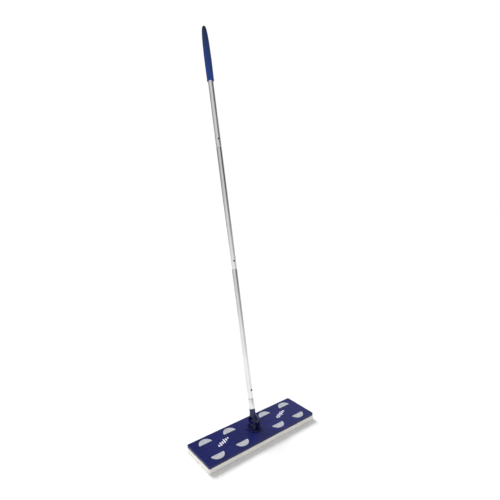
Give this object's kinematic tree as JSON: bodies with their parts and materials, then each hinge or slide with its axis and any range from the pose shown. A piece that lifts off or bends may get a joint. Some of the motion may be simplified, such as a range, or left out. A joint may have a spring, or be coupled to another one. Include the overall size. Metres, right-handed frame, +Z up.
{
  "type": "flat mop",
  "caption": "Flat floor mop: a rectangular foam-soled head with rubber cloth grippers, a universal joint, and a sectional aluminium pole with a soft grip.",
  "frame": {"origin": "centre of the foam sole's underside, on the floor", "axes": "+X along the head's long axis, +Y towards the head's back edge, the way the pole leans, +Z up"},
  "size_m": [0.432, 0.4477, 1.3799],
  "materials": {
    "sole_foam": "matte",
    "plate_plastic": "satin",
    "gripper_rubber": "matte",
    "joint_plastic": "gloss",
    "pole_aluminium": "satin",
    "steel": "satin",
    "button_plastic": "satin",
    "grip_foam": "matte",
    "cap_plastic": "satin"
  },
  "bodies": {
    "head": {"foam_sole": "sole_foam", "base_plate": "plate_plastic", "cloth_gripper_1": "gripper_rubber", "cloth_gripper_2": "gripper_rubber", "cloth_gripper_3": "gripper_rubber", "cloth_gripper_4": "gripper_rubber", "cloth_gripper_5": "gripper_rubber", "cloth_gripper_6": "gripper_rubber", "cloth_gripper_7": "gripper_rubber", "cloth_gripper_8": "gripper_rubber", "joint_hub": "joint_plastic", "hub_screw_1": "steel", "hub_screw_2": "steel", "hub_screw_3": "steel", "hub_screw_4": "steel", "tilt_pin": "steel", "tilt_pin_clip": "steel"},
    "cross": {"cross_block": "joint_plastic"},
    "pole": {"fork": "joint_plastic", "swing_pin": "steel", "swing_pin_clip": "steel", "stub_tube": "pole_aluminium", "lower_tube": "pole_aluminium", "middle_tube": "pole_aluminium", "upper_tube": "pole_aluminium", "button_spring_lower": "steel", "button_spring_middle": "steel", "button_spring_upper": "steel", "grip_sleeve": "grip_foam", "grip_cap": "cap_plastic"},
    "lower_button": {"snap_button_lower": "button_plastic"},
    "middle_button": {"snap_button_middle": "button_plastic"},
    "upper_button": {"snap_button_upper": "button_plastic"}
  },
  "joints": [
    {"name": "fore_aft_tilt", "type": "hinge", "parent": "head", "child": "cross", "pos_m": [0, 0, 0.0425], "axis": [1, 0, 0], "range_deg": [-44.2, 75.8]},
    {"name": "side_swing", "type": "hinge", "parent": "cross", "child": "pole", "pos_m": [0, 0.00218, 0.0502], "axis": [0, 0.9622, -0.2723], "range_deg": [-58.3, 51.7]},
    {"name": "lower_button_press", "type": "slide", "parent": "pole", "child": "lower_button", "axis": [0, 0.9622, -0.2723], "range_m": [0, 0.0026], "stiffness_N_per_m": 800, "springref_m": -0.003, "deforming": ["button_spring_lower"]},
    {"name": "middle_button_press", "type": "slide", "parent": "pole", "child": "middle_button", "axis": [0.374, 0.8863, -0.2732], "range_m": [0, 0.0026], "stiffness_N_per_m": 800, "springref_m": -0.003, "deforming": ["button_spring_middle"]},
    {"name": "upper_button_press", "type": "slide", "parent": "pole", "child": "upper_button", "axis": [0.374, 0.8863, -0.2732], "range_m": [0, 0.0026], "stiffness_N_per_m": 800, "springref_m": -0.003, "deforming": ["button_spring_upper"]}
  ]
}
